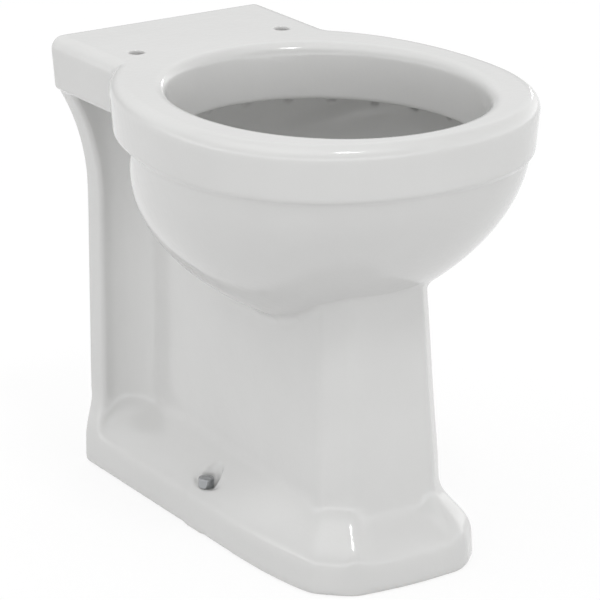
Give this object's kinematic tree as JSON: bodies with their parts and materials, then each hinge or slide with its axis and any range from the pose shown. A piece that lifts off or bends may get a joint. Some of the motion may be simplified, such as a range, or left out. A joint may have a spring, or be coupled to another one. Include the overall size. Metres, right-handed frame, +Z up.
{
  "type": "back-to-wall toilet pan",
  "caption": "Floor-standing back-to-wall toilet pan in white vitreous china: box rim with seat deck, round bowl, pedestal with canted corners on a spreading foot, chrome caps over the floor screws.",
  "frame": {"origin": "on the floor, under the middle of the overall box", "axes": "+X to the right as seen from the front, +Y towards the wall, +Z up; the front of the rim faces -Y"},
  "size_m": [0.3498, 0.4699, 0.42],
  "materials": {
    "glazed_china": "gloss white glaze",
    "zinc_steel": "zinc plated",
    "white_nylon": "moulded, satin",
    "chrome": "polished chrome plate"
  },
  "bodies": {
    "pan": {"rim_casting": "glazed_china", "bowl_casting": "glazed_china", "pedestal_casting": "glazed_china", "trapway_casting": "glazed_china", "flush_inlet_horn": "glazed_china", "floor_screws": "zinc_steel", "screw_bushes": "white_nylon", "cap_washers": "white_nylon"},
    "left_cap": {"left_cover_cap": "chrome"},
    "right_cap": {"right_cover_cap": "chrome"}
  },
  "joints": [
    {"name": "left_cap_lift", "type": "slide", "parent": "pan", "child": "left_cap", "axis": [0, 0, 1], "range_m": [0, 0.06]},
    {"name": "right_cap_lift", "type": "slide", "parent": "pan", "child": "right_cap", "axis": [0, 0, 1], "range_m": [0, 0.06]}
  ]
}
